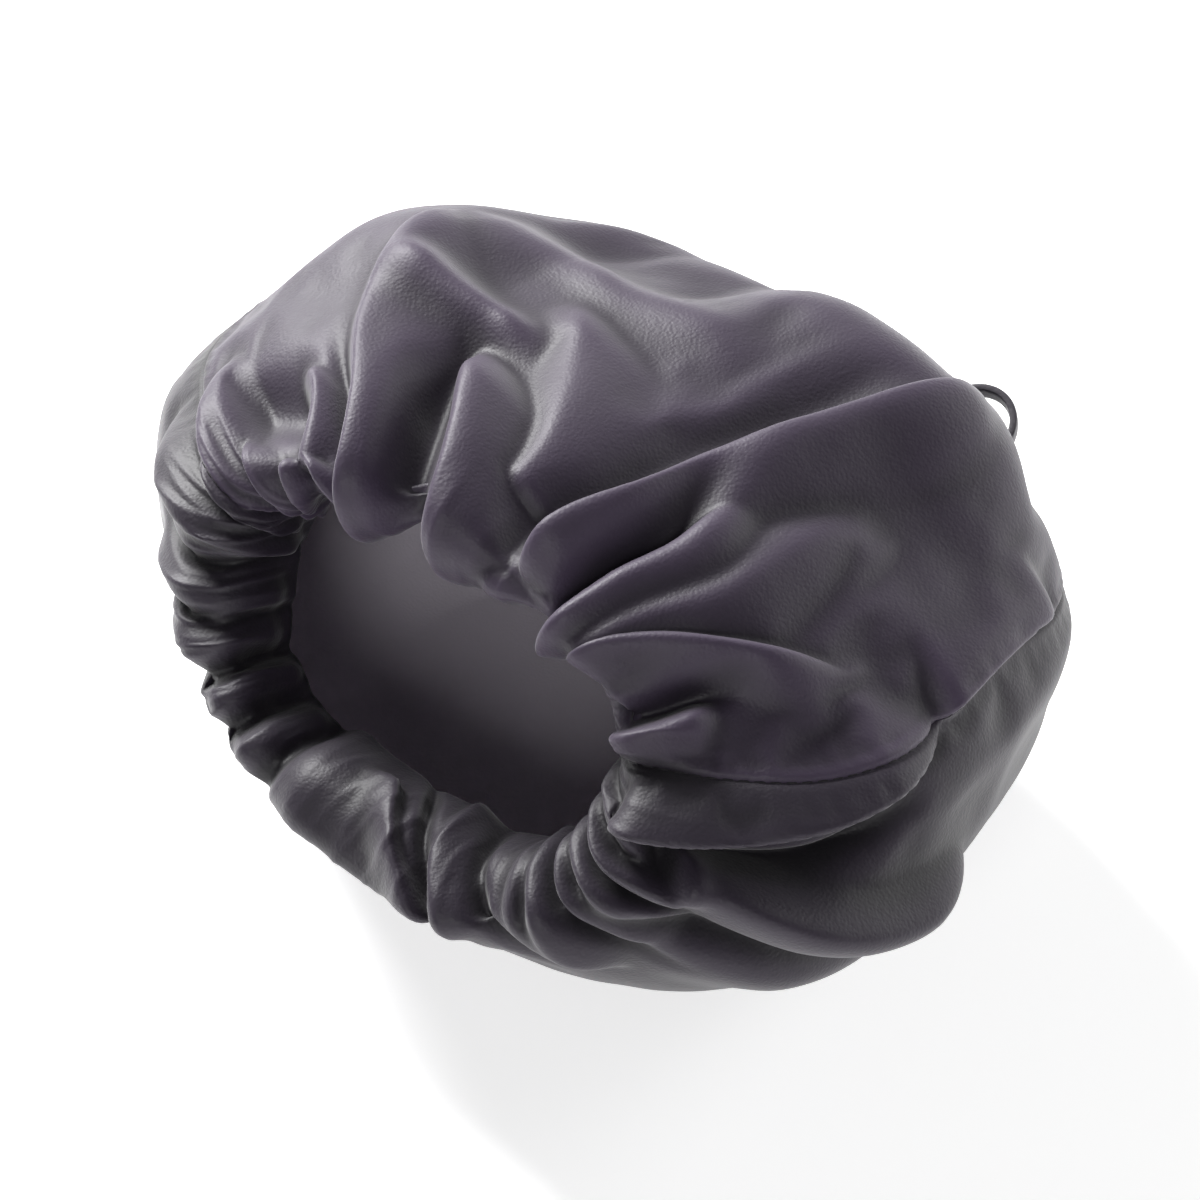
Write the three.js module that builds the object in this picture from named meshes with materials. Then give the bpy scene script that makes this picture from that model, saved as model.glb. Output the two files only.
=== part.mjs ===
import * as THREE from 'three';

// Sizes of the bag as it lies, in millimetres. X runs from seam to seam, the mouth
// faces -Y and the flattened underside rests on Z = 0.
const BAG_WIDTH = 256;
const BAG_DEPTH = 180;
const BAG_HEIGHT = 136;

// Leather wall, measured square to the rounded form.
const LEATHER = 2;

// Clear width left along the side seams between the two panels.
const SEAM_GAP = 0.3;

// Largest rise of a gathered fold, and the roundness of the creases between folds.
const FOLD_RISE = 10;
const CREASE_ROUND = 0.9;

// A fold grows over its far end, for the share of its length in its "taper" column, and
// dies away past its near end.
const FADE = { before: 0.12, after: 1.12, die: 0.3 };

// A crest bends over a share of its half width, or over CREST_TURN degrees where the
// fold is narrow, but over no more than CREST_BLUNT half widths.
const CREST_BEND = 0.3;
const CREST_TURN = 3.4;
const CREST_BLUNT = 1.1;

// The foot of a fold is hollow by this power, reached by folds HOLLOW.wide degrees wide
// and wider, and is plain up to HOLLOW.narrow degrees.
const HOLLOW = { power: 1.4, narrow: 5.1, wide: 11.1 };

// Share of a fold's rise that is lost at the rim, and the rings over which it goes.
const RIM_CALM = { share: 0.3, from: 8.6, over: 1.6 };

// How far a fading fold sinks out of sight, and the deepest it is followed.
const FADE_SINK = 1.5 * FOLD_RISE;
const DEEPEST = -3 * FOLD_RISE;

// How fast creases and cross folds fall away to each side of their line, and how much
// of a cross fold's length keeps its full rise.
const SIDE_FALL = 1.4;
const CROSS_FULL = 1.6;

// Steps used to measure the direction of the form, in degrees and in rings.
const ANGLE_STEP = 2;
const RING_STEP = 0.12;

// Height over which the underside eases into its flat resting area.
const REST_EASE = 7;

// Wrist loop behind the bag.
const LOOP_STRAP_WIDTH = 5;
const LOOP_STRAP_THICK = 2;
const LOOP_REACH = 11;
const LOOP_SEAT_GAP = 0.6;
const LOOP_STEPS = 18;

// Fineness of the faceted leather: columns of one panel in its gathered front, of which
// the plain back has every second one.
const COLUMNS_PER_PANEL = 79;

const GREY_VIOLET = 0x46424a;
const DARK_VIOLET = 0x39363d;

// Turn rows of plain values into rows with named columns.
function table(columns, rows) {
  return rows.map((row) => Object.fromEntries(columns.map((name, i) => [name, row[i]])));
}

// Rings from the closed back to the inner edge of the mouth. "along" is a share of
// BAG_DEPTH, "aside" and "half" of BAG_WIDTH, "lift", "up" and "down" of BAG_HEIGHT;
// "tilt" leans the ring back in degrees and "square" is 2 for an ellipse.
const RINGS = table(
  ['along', 'aside', 'lift', 'tilt', 'half', 'up', 'down', 'square'],
  [
    [0.5, 0.01, 0.44, 0, 0.1, 0, 0, 2],
    [0.485, 0.01, 0.44, 0, 0.2, 0.2, 0.19, 2.1],
    [0.415, 0.005, 0.455, 0, 0.335, 0.39, 0.34, 2.25],
    [0.28, -0.005, 0.47, 2, 0.425, 0.465, 0.53, 2.2],
    [0.1, -0.015, 0.5, 6, 0.475, 0.475, 0.61, 2.15],
    [-0.08, -0.012, 0.535, 12, 0.485, 0.46, 0.61, 2.1],
    [-0.245, 0.005, 0.59, 20, 0.45, 0.415, 0.52, 2.1],
    [-0.365, 0.024, 0.645, 28, 0.372, 0.365, 0.425, 2],
    [-0.43, 0.04, 0.685, 34, 0.3, 0.3, 0.365, 2.05],
    [-0.41, 0.046, 0.69, 37, 0.255, 0.24, 0.315, 2.15],
    [-0.365, 0.046, 0.685, 38, 0.235, 0.218, 0.285, 2.2],
    [-0.29, 0.046, 0.645, 36, 0.232, 0.21, 0.275, 2.2],
  ],
);
const LAST_RING = RINGS.length - 1;

// Rings at which the leather is faceted: the plain back, then the gathered front.
const BACK_ROWS = [0, 0.4, 1.1, 1.9, 2.7];
const FRONT_ROWS = [3.3, 3.9, 4.5, 5.1, 5.6, 6.1, 6.6, 7, 7.4, 7.8, 8.2, 8.6, 9.1, 9.8, 11];
const ROWS = [...BACK_ROWS, ...FRONT_ROWS];

// Folds that run from the mouth over the body. "near" and "far" are ring numbers; the
// three angles are the fold's place round the bag at the near end, halfway and at the
// far end, counted from the right-hand end of the mouth over the top. "nearHalf" and
// "farHalf" are half widths in degrees, "rise" is a share of FOLD_RISE and "skew" the
// share by which the side towards larger angles is the wider one.
const FOLD_COLUMNS = [
  'near', 'far', 'nearAngle', 'midAngle', 'farAngle', 'nearHalf', 'farHalf', 'rise', 'skew', 'taper',
];
const FOLDS = table(
  FOLD_COLUMNS,
  [
    // Over the top, from left to right.
    [10.6, 3.2, 118, 112.5, 127, 9, 13, 1.05, -0.35, 0.42],
    [10.6, 5.1, 87, 91.5, 102, 11, 7, 0.95, -0.4, 0.3],
    [7.4, 3.6, 85, 88, 104, 8, 9, 0.4, -0.3, 0.42],
    [10.8, 7.8, 80, 80, 79, 14, 13, 0.6, 0, 0.42],
    [8.4, 1.8, 73, 68.5, 53, 8, 10, 1.15, -0.4, 0.4],
    [9.8, 4, 57.5, 62, 65, 6, 7, 0.85, -0.4, 0.45],
    [9.2, 2.8, 53, 55, 54, 9, 12, 0.5, 0, 0.5],
    [8.9, 4.6, 51, 47.5, 27, 6, 8, 0.65, -0.3, 0.5],
    [8.8, 6.2, 29, 32, 42, 5, 6, 0.4, -0.2, 0.5],
    // The band under the right-hand seam and the long low ridge below it.
    [8.8, 4.2, 365, 374, 386, 9, 9, 0.8, 0.6, 0.42],
    [5, 2.6, 384, 387, 382, 7, 7, 0.5, 0.5, 0.42],
    [7.9, 4, 365, 353, 355, 8, 10, 0.95, -0.3, 0.42],
    // The rolled lower lip, from right to left.
    [10.8, 7, 372, 365, 360, 4, 4.2, 0.35, 0, 0.5],
    [11.4, 6.7, 364, 358, 348, 5, 5.4, 0.42, 0.2, 0.5],
    [11.6, 6.4, 345, 348, 340, 5.4, 6, 0.45, 0.1, 0.5],
    [11.6, 6.2, 329, 331, 325, 6, 6.6, 0.5, 0, 0.5],
    [11.6, 6, 307, 317, 316, 6, 7, 0.45, 0, 0.5],
    [11.8, 6.8, 289, 297, 301, 7, 8, 0.55, 0.2, 0.5],
    [11.8, 6.8, 266, 278, 286, 8, 9, 0.5, -0.2, 0.5],
    [11.8, 7, 252, 257, 266, 8, 10, 0.4, -0.1, 0.5],
    // The gathers at the left-hand end, from below to above.
    [11.4, 7.6, 240, 241, 243, 5, 5.4, 0.36, 0, 0.45],
    [11.4, 7.6, 225, 226, 228, 4.6, 5, 0.36, 0, 0.45],
    [11.4, 6.2, 213, 210, 204, 9, 10, 0.3, 0.3, 0.42],
    [11.4, 6, 200, 196, 190, 10, 10, 0.3, 0.3, 0.42],
    [11.4, 5.6, 183, 176, 160, 8, 10, 0.55, -0.3, 0.42],
    [11.2, 5.4, 178, 158.5, 142, 7, 9, 0.6, -0.3, 0.42],
    [11.2, 6.8, 166, 146, 145, 5, 6, 0.5, -0.3, 0.42],
    [10.4, 7.7, 156, 139, 131, 3.6, 4, 0.5, 0, 0.3],
    [10.4, 7.6, 124, 121, 130, 3.6, 4, 0.5, 0, 0.3],
    [8.4, 6, 129, 125.5, 128, 4, 5, 0.4, 0, 0.42],
  ],
);

// Creases pressed in between the folds, in the same columns; "rise" is the depth.
const CREASES = table(
  FOLD_COLUMNS,
  [
    [9.4, 5.4, 101, 103, 101.5, 5, 4, 1, 0, 0.42],
    [8, 2.8, 80, 76, 67, 4, 5, 0.4, 0, 0.42],
    [10.4, 4.8, 60, 63.5, 68.5, 2.4, 4.2, 0.8, 0, 0.42],
    [8.9, 6.4, 38, 38, 41.5, 3, 3.4, 0.5, 0, 0.42],
    [9.4, 7.5, 8, 10, 5, 2.4, 2.4, 0.3, 0, 0.42],
    [10, 7.9, 13, 3, 359, 2.4, 2.4, 0.3, 0, 0.42],
    [7.8, 5.3, 362, 361.5, 371, 5, 5, 1.1, 0, 0.42],
    [7.6, 4.4, 341, 343, 342, 4, 5, 0.8, 0, 0.42],
    [9.2, 7.3, 364, 360.5, 356, 2.4, 2.4, 0.4, 0, 0.42],
    [10.6, 6.9, 354, 352.5, 346, 2.6, 2.6, 0.5, 0, 0.42],
    [10.8, 7.2, 336, 339.5, 335, 3, 3.2, 0.6, 0, 0.42],
    [10.8, 7, 317, 324, 324, 3, 3.2, 0.6, 0, 0.42],
    [11.2, 6.8, 298, 307, 309, 3.2, 3.5, 0.6, 0, 0.42],
    [11.4, 7.2, 278, 287, 294, 3.2, 3.4, 0.7, 0, 0.42],
    [11.2, 7.6, 247, 248.5, 250, 3, 3.2, 0.6, 0, 0.42],
    [11, 7.4, 232.5, 233.5, 234, 2.8, 3, 0.6, 0, 0.42],
    [11.2, 6.8, 218, 218.5, 221, 3.2, 3.4, 0.9, 0, 0.42],
    [11.2, 6.8, 206, 203, 195, 2.4, 2.8, 0.45, 0, 0.42],
    [11.2, 6.8, 185, 187, 183, 2.4, 2.8, 0.45, 0, 0.42],
    [9.6, 8.2, 134, 129, 129, 2.4, 2.4, 0.5, 0, 0.42],
    [9.4, 6, 118, 118.5, 121, 2.4, 3.2, 0.5, 0, 0.42],
  ],
);

// Folds and hollows that run round the bag. "ring" is the place along it, "from" and
// "to" are angles, "reach" is the half width in rings and "rise" a share of FOLD_RISE.
const CROSS_FOLDS = table(
  ['ring', 'from', 'to', 'reach', 'rise'],
  [
    [3.75, 74, 126, 0.4, 0.3],
    [2.9, 86, 126, 1, -0.8],
    [2.7, 34, 100, 0.9, 0.8],
    [4.3, 106, 146, 1, 0.7],
    [3.3, 22, 66, 1.1, 0.3],
    [3.2, 322, 372, 1.6, -0.5],
    [5.6, 322, 366, 1.2, 0.4],
    [5.1, 94, 119, 0.35, 0.6],
    [7, 124, 147, 0.6, -0.75],
    [5, 140, 176, 1.2, -0.3],
    [7.2, 168, 314, 1.5, -0.7],
    [10.2, 250, 300, 1.6, 0.4],
    [10.4, 200, 256, 1.5, -0.5],
  ],
);

// Angle of the side seam from the plane of the mouth's long axis at each ring.
const SEAM_ANGLES = [0, 8, 15, 20, 25, 24, 23, 23, 24, 22, 20, 20];

// Places on the upper panel's back where the ends of the wrist loop sit.
const LOOP_SEATS = table(
  ['angle', 'ring'],
  [
    [61, 1.65],
    [45, 1.75],
  ],
);

const rad = THREE.MathUtils.degToRad;

function clamp01(value) {
  return Math.min(1, Math.max(0, value));
}

function ease(value) {
  const t = clamp01(value);
  return t * t * (3 - 2 * t);
}

// Smooth curve through evenly spaced values.
function curveThrough(values, place) {
  const last = values.length - 1;
  const i = Math.min(last - 1, Math.max(0, Math.floor(place)));
  const f = place - i;
  const b = values[i];
  const c = values[i + 1];
  const a = i > 0 ? values[i - 1] : 2 * b - c;
  const d = i + 2 <= last ? values[i + 2] : 2 * c - b;
  const bend = 2 * a - 5 * b + 4 * c - d;
  const twist = -a + 3 * b - 3 * c + d;
  return 0.5 * (2 * b + (c - a) * f + bend * f * f + twist * f * f * f);
}

function ringValue(name, ring) {
  return curveThrough(RINGS.map((row) => row[name]), ring);
}

// Signed power, for rounded-square rings.
function power(value, exponent) {
  return Math.sign(value) * Math.abs(value) ** exponent;
}

// Underside heights near and below the floor flatten onto it.
function onFloor(z) {
  if (z > REST_EASE) return z;
  if (z < -REST_EASE) return 0;
  return (z + REST_EASE) ** 2 / (4 * REST_EASE);
}

// Measures of one ring, in millimetres and radians.
function ringAt(ring) {
  return {
    y: ringValue('along', ring) * BAG_DEPTH,
    x: ringValue('aside', ring) * BAG_WIDTH,
    z: ringValue('lift', ring) * BAG_HEIGHT,
    tilt: rad(ringValue('tilt', ring)),
    half: ringValue('half', ring) * BAG_WIDTH,
    up: Math.max(0, ringValue('up', ring)) * BAG_HEIGHT,
    down: Math.max(0, ringValue('down', ring)) * BAG_HEIGHT,
    exponent: 2 / ringValue('square', ring),
  };
}

// Point of the rounded form, before any fold and before the floor flattens it.
function roundPoint(angle, ring) {
  const r = ringAt(ring);
  const across = power(Math.cos(rad(angle)), r.exponent) * r.half;
  const side = Math.sin(rad(angle));
  const raised = power(side, r.exponent) * (side > 0 ? r.up : r.down);
  return new THREE.Vector3(
    r.x + across,
    r.y + raised * Math.sin(r.tilt),
    r.z + raised * Math.cos(r.tilt),
  );
}

// The same point with the underside flattened.
function smoothPoint(angle, ring) {
  const point = roundPoint(angle, ring);
  point.z = onFloor(point.z);
  return point;
}

// Outward direction of the smooth form; the closing line at the back faces straight back.
function smoothNormal(angle, ring) {
  if (ring === 0) return new THREE.Vector3(0, 1, 0);
  const place = Math.min(LAST_RING - RING_STEP, Math.max(RING_STEP, ring));
  const round = smoothPoint(angle + ANGLE_STEP, place).sub(smoothPoint(angle - ANGLE_STEP, place));
  const along = smoothPoint(angle, place + RING_STEP).sub(smoothPoint(angle, place - RING_STEP));
  return round.cross(along).normalize();
}

// Shortest way round from one angle to another.
function turnBetween(from, to) {
  return ((((to - from) % 360) + 540) % 360) - 180;
}

// Where a place lies on a fold: its share along and its distance from the crest.
function onFold(fold, angle, ring) {
  const share = (ring - fold.far) / (fold.near - fold.far);
  const t = clamp01(share);
  const ends = fold.farAngle * (1 - t) * (1 - 2 * t) + fold.nearAngle * t * (2 * t - 1);
  const crest = ends + fold.midAngle * 4 * t * (1 - t);
  const half = fold.farHalf + (fold.nearHalf - fold.farHalf) * t;
  const fade = ease((share + FADE.before) / fold.taper) * ease((FADE.after - share) / FADE.die);
  const turn = turnBetween(crest, angle);
  return { off: turn / (half * (1 + fold.skew * Math.sign(turn))), fade };
}

// Share of a fold's rise at a distance from its crest, in half widths.
function crestProfile(fold, off) {
  const bend = Math.min(CREST_BLUNT, Math.max(CREST_BEND, CREST_TURN / fold.farHalf));
  const fall = (Math.hypot(off, bend) - bend) / (Math.hypot(1, bend) - bend);
  const width = clamp01((fold.farHalf - HOLLOW.narrow) / (HOLLOW.wide - HOLLOW.narrow));
  return power(1 - fall, 1 + (HOLLOW.power - 1) * width);
}

// Height of the folded leather over the smooth form at one place.
function foldHeightAt(angle, ring) {
  const spread = 1 / CREASE_ROUND;
  const rise = FOLD_RISE * (1 - RIM_CALM.share * ease((ring - RIM_CALM.from) / RIM_CALM.over));
  let crests = 1;
  for (const fold of FOLDS) {
    const { off, fade } = onFold(fold, angle, ring);
    const height = fold.rise * rise * fade * crestProfile(fold, off) - FADE_SINK * (1 - fade);
    crests += Math.exp(spread * Math.max(height, DEEPEST));
  }
  let height = Math.log(crests) / spread;
  for (const crease of CREASES) {
    const { off, fade } = onFold(crease, angle, ring);
    height -= crease.rise * rise * fade * Math.exp(-SIDE_FALL * off * off);
  }
  for (const cross of CROSS_FOLDS) {
    const middle = (cross.from + cross.to) / 2;
    const reach = (cross.to - cross.from) / 2;
    const round = ease(CROSS_FULL * (1 - Math.abs(turnBetween(middle, angle)) / reach));
    const off = (ring - cross.ring) / cross.reach;
    height += cross.rise * FOLD_RISE * round * Math.exp(-SIDE_FALL * off * off);
  }
  return height;
}

// The same height evened out over the width of a facet.
function foldHeight(angle, ring) {
  const step = 180 / COLUMNS_PER_PANEL / 2;
  const beside = foldHeightAt(angle - step, ring) + foldHeightAt(angle + step, ring);
  return 0.5 * foldHeightAt(angle, ring) + 0.25 * beside;
}

// Point of the leather's outer face.
function outerPoint(angle, ring) {
  const point = roundPoint(angle, ring);
  point.addScaledVector(smoothNormal(angle, ring), foldHeight(angle, ring));
  point.z = onFloor(point.z);
  return point;
}

// Closed wall between an outer face and the same face moved inwards. The rows from
// "full" on have every column, and those before it every second one.
function leatherWall(columns, rows, full, outer, inward) {
  const points = [];
  const index = new Map();
  const strideOf = (j) => (j < full ? 2 : 1);
  for (const [layer, face] of [outer, inward].entries()) {
    for (let j = 0; j < rows; j += 1) {
      for (let i = 0; i < columns; i += strideOf(j)) {
        index.set(`${layer} ${i} ${j}`, points.length);
        points.push(face(i, j));
      }
    }
  }
  const place = (i, j, layer = 0) => index.get(`${layer} ${i} ${j}`);
  const faces = [];
  const triangle = (a, b, c, layer = 0) => {
    if (layer === 0) faces.push(a, c, b);
    else faces.push(a, b, c);
  };
  const wall = (a, b, c, d) => {
    triangle(a, b, c);
    triangle(a, c, d);
  };
  const quad = (a, b, c, d, layer) => {
    // The shorter diagonal keeps the facets even.
    if (points[a].distanceTo(points[c]) <= points[b].distanceTo(points[d])) {
      triangle(a, b, c, layer);
      triangle(a, c, d, layer);
    } else {
      triangle(b, c, d, layer);
      triangle(b, d, a, layer);
    }
  };
  for (let j = 0; j + 1 < rows; j += 1) {
    const stride = strideOf(j);
    const widens = stride !== strideOf(j + 1);
    for (const layer of [0, 1]) {
      for (let i = 0; i + stride < columns; i += stride) {
        const [a, b] = [place(i, j, layer), place(i + stride, j, layer)];
        const [c, d] = [place(i + stride, j + 1, layer), place(i, j + 1, layer)];
        if (widens) {
          const middle = place(i + 1, j + 1, layer);
          triangle(a, d, middle, layer);
          triangle(a, middle, b, layer);
          triangle(b, middle, c, layer);
        } else {
          quad(a, d, c, b, layer);
        }
      }
    }
    const end = columns - 1;
    wall(place(0, j), place(0, j, 1), place(0, j + 1, 1), place(0, j + 1));
    wall(place(end, j), place(end, j + 1), place(end, j + 1, 1), place(end, j, 1));
  }
  for (const [j, sense] of [[0, 1], [rows - 1, -1]]) {
    const stride = strideOf(j);
    for (let i = 0; i + stride < columns; i += stride) {
      const [a, b] = sense > 0 ? [i, i + stride] : [i + stride, i];
      wall(place(a, j), place(b, j), place(b, j, 1), place(a, j, 1));
    }
  }
  const geometry = new THREE.BufferGeometry();
  const coordinates = points.flatMap((point) => point.toArray());
  geometry.setAttribute('position', new THREE.Float32BufferAttribute(coordinates, 3));
  geometry.setIndex(faces);
  return geometry;
}

// One leather panel between the two side seams: side 1 goes over the top, side -1 below.
function panel(side) {
  const seamAngle = (ring) => curveThrough(SEAM_ANGLES, ring);
  const angleAt = (i, j) => {
    const seam = seamAngle(ROWS[j]);
    const share = i / (COLUMNS_PER_PANEL - 1);
    return side > 0 ? seam + share * (180 - 2 * seam) : 180 - seam + share * (180 + 2 * seam);
  };
  // The edge columns, and the first row behind the bag, step back from the seam.
  const clearance = (i, j) => {
    const step = new THREE.Vector3();
    const half = SEAM_GAP / 2;
    const edge = i === 0 || i === COLUMNS_PER_PANEL - 1;
    if (j === 0) return step.set(0, 0, side * half);
    if (!edge) return step;
    const angle = angleAt(i, j);
    const turn = i === 0 ? 1 : -1;
    step.copy(outerPoint(angle + turn, ROWS[j])).sub(outerPoint(angle, ROWS[j]));
    return step.setLength(half);
  };
  const outer = (i, j) => outerPoint(angleAt(i, j), ROWS[j]).add(clearance(i, j));
  const inner = (i, j) => outer(i, j).addScaledVector(smoothNormal(angleAt(i, j), ROWS[j]), -LEATHER);
  return leatherWall(COLUMNS_PER_PANEL, ROWS.length, BACK_ROWS.length, outer, inner);
}

// The wrist loop: a strap arched off the back of the upper panel between two seats.
function wristLoop() {
  const [high, low] = LOOP_SEATS.map(({ angle, ring }) => ({
    point: outerPoint(angle, ring),
    out: smoothNormal(angle, ring),
  }));
  const out = high.out.clone().add(low.out).normalize();
  const profile = new THREE.Shape();
  const w = LOOP_STRAP_WIDTH / 2;
  const h = LOOP_STRAP_THICK / 2;
  profile.moveTo(-h, -w);
  profile.lineTo(h, -w);
  profile.lineTo(h, w);
  profile.lineTo(-h, w);
  profile.closePath();
  const points = [];
  for (let k = 0; k <= LOOP_STEPS; k += 1) {
    const t = (Math.PI * k) / LOOP_STEPS;
    const share = (1 - Math.cos(t)) / 2;
    const foot = high.point.clone().lerp(low.point, share);
    points.push(foot.addScaledVector(out, LOOP_SEAT_GAP + Math.sin(t) * LOOP_REACH));
  }
  const extrudePath = new THREE.CatmullRomCurve3(points);
  return new THREE.ExtrudeGeometry(profile, { steps: LOOP_STEPS, bevelEnabled: false, extrudePath });
}

function piece(name, geometry, color, roughness) {
  const material = new THREE.MeshStandardMaterial({ color, roughness, metalness: 0 });
  const mesh = new THREE.Mesh(geometry, material);
  mesh.name = name;
  return mesh;
}

const bag = new THREE.Group();
bag.name = 'sheepskin_bag';
bag.add(piece('upper_panel', panel(1), GREY_VIOLET, 0.5));
bag.add(piece('lower_panel', panel(-1), DARK_VIOLET, 0.5));
bag.add(piece('wrist_loop', wristLoop(), DARK_VIOLET, 0.55));

// The middle of the whole bag's footprint comes to X = 0, Y = 0.
const middle = new THREE.Box3().setFromObject(bag).getCenter(new THREE.Vector3());
for (const mesh of bag.children) mesh.geometry.translate(-middle.x, -middle.y, 0);

export default bag;
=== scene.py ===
"""Gathered sheepskin pouch bag lying on its side: leather, seams, studio and camera."""

import logging
import math
from dataclasses import dataclass, field
from enum import Enum

import bpy
import numpy as np
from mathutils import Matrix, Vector


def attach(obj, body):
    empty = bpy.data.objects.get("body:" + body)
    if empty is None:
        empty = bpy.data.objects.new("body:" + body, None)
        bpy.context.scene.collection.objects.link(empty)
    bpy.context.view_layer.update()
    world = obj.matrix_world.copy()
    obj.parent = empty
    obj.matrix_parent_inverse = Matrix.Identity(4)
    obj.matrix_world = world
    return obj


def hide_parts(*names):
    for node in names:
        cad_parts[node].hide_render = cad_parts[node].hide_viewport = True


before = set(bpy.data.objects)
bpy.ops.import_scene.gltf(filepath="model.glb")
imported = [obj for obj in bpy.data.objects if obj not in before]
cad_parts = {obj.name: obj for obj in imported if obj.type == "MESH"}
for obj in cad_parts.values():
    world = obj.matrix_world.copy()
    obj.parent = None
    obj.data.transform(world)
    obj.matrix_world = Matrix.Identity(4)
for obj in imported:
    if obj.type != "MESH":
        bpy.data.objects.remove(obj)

log = logging.getLogger("sheepskin_bag")

MM = 0.001
Array = np.ndarray


class PanelSide(Enum):
    """Which of the two leather panels is meant."""

    UPPER = 1
    LOWER = -1


@dataclass(frozen=True)
class Ring:
    """One ring of the rounded form, from the closed back to the mouth.

    along is a share of the bag's depth, aside and half of its width, lift, up and down
    of its height. tilt leans the ring back in degrees; square is 2 for an ellipse.
    """

    along: float
    aside: float
    lift: float
    tilt: float
    half: float
    up: float
    down: float
    square: float


@dataclass(frozen=True)
class Fold:
    """A fold or crease that runs from the mouth over the body.

    near and far are ring numbers. The three angles are its place round the bag at the
    near end, halfway and at the far end. The halves are half widths in degrees. rise
    is a share of the largest fold. skew widens one flank and steepens the other. lean
    is how far the crest hangs over, in millimetres. taper is the share of its length
    over which the far end rises.
    """

    near: float
    far: float
    near_angle: float
    mid_angle: float
    far_angle: float
    near_half: float
    far_half: float
    rise: float
    skew: float = 0.0
    lean: float = 0.0
    taper: float = 0.42


@dataclass(frozen=True)
class CrossFold:
    """A fold or hollow that runs round the bag between two angles at one ring."""

    ring: float
    start: float
    stop: float
    reach: float
    rise: float


RINGS = [
    Ring(0.5, 0.01, 0.44, 0, 0.1, 0, 0, 2),
    Ring(0.485, 0.01, 0.44, 0, 0.2, 0.2, 0.19, 2.1),
    Ring(0.415, 0.005, 0.455, 0, 0.335, 0.39, 0.34, 2.25),
    Ring(0.28, -0.005, 0.47, 2, 0.425, 0.465, 0.53, 2.2),
    Ring(0.1, -0.015, 0.5, 6, 0.475, 0.475, 0.61, 2.15),
    Ring(-0.08, -0.012, 0.535, 12, 0.485, 0.46, 0.61, 2.1),
    Ring(-0.245, 0.005, 0.59, 20, 0.45, 0.415, 0.52, 2.1),
    Ring(-0.365, 0.024, 0.645, 28, 0.372, 0.365, 0.425, 2),
    Ring(-0.43, 0.04, 0.685, 34, 0.3, 0.3, 0.365, 2.05),
    Ring(-0.41, 0.046, 0.69, 37, 0.255, 0.24, 0.315, 2.15),
    Ring(-0.365, 0.046, 0.685, 38, 0.235, 0.218, 0.285, 2.2),
    Ring(-0.29, 0.046, 0.645, 36, 0.232, 0.21, 0.275, 2.2),
]

FOLDS = [
    Fold(10.6, 3.2, 118, 112.5, 127, 9, 13, 1.05, -0.35, 2.5),
    Fold(10.6, 5.1, 87, 91.5, 102, 11, 7, 0.95, -0.4, 2.5, 0.3),
    Fold(7.4, 3.6, 85, 88, 104, 8, 9, 0.4, -0.3, 0.5),
    Fold(10.8, 7.8, 80, 80, 79, 14, 13, 0.6, 0, 0),
    Fold(8.4, 1.8, 73, 68.5, 53, 8, 10, 1.15, -0.4, 2, 0.4),
    Fold(9.8, 4, 57.5, 62, 65, 6, 7, 0.85, -0.4, 2, 0.45),
    Fold(9.2, 2.8, 53, 55, 54, 9, 12, 0.5, 0, 0, 0.5),
    Fold(8.9, 4.6, 51, 47.5, 27, 6, 8, 0.65, -0.3, 1.5, 0.5),
    Fold(8.8, 6.2, 29, 32, 42, 5, 6, 0.4, -0.2, 0.6, 0.5),
    Fold(8.8, 4.2, 365, 374, 386, 9, 9, 0.8, 0.6, -3.5),
    Fold(5, 2.6, 384, 387, 382, 7, 7, 0.5, 0.5, -2.5),
    Fold(7.9, 4, 365, 353, 355, 8, 10, 0.95, -0.3, 2.5),
    Fold(10.8, 7, 372, 366, 361, 4, 4.2, 0.35, 0, 0, 0.5),
    Fold(11.4, 6.6, 364, 358, 352, 8, 8.5, 0.55, 0.1, -0.5, 0.3),
    Fold(11.6, 6.4, 340, 342, 341, 8, 9.5, 0.6, 0, 0, 0.3),
    Fold(11.6, 6.2, 322, 325, 324, 8, 9, 0.55, 0, 0, 0.35),
    Fold(11.6, 7, 288, 298, 305, 7, 7.5, 0.5, 0.2, -1, 0.4),
    Fold(10.8, 7.4, 264, 286, 299, 6, 7, 0.5, -0.3, 1.5, 0.4),
    Fold(11.8, 7, 252, 258, 268, 12, 14, 0.4, 0, 0, 0.5),
    Fold(11.4, 7.6, 240, 241, 243, 5, 5.4, 0.36, 0, 0.4, 0.45),
    Fold(11.4, 7.6, 225, 226, 228, 4.6, 5, 0.36, 0, 0.4, 0.45),
    Fold(11.4, 6.2, 213, 210, 204, 9, 10, 0.3, 0.3, 0.6),
    Fold(11.4, 6, 200, 196, 190, 10, 10, 0.3, 0.3, 0.6),
    Fold(11.4, 5.6, 183, 176, 160, 8, 10, 0.55, -0.3, 1.5),
    Fold(11.2, 5.4, 178, 158.5, 142, 7, 9, 0.6, -0.3, 1),
    Fold(11.2, 6.8, 166, 146, 145, 5, 6, 0.5, -0.3, 1),
    Fold(10.4, 7.7, 156, 139, 131, 3.6, 4, 0.5, 0, 1, 0.3),
    Fold(10.4, 7.6, 124, 121, 130, 3.6, 4, 0.5, 0, -0.5, 0.3),
    Fold(8.4, 6, 129, 125.5, 128, 4, 5, 0.4, 0, 0.5),
]

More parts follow.
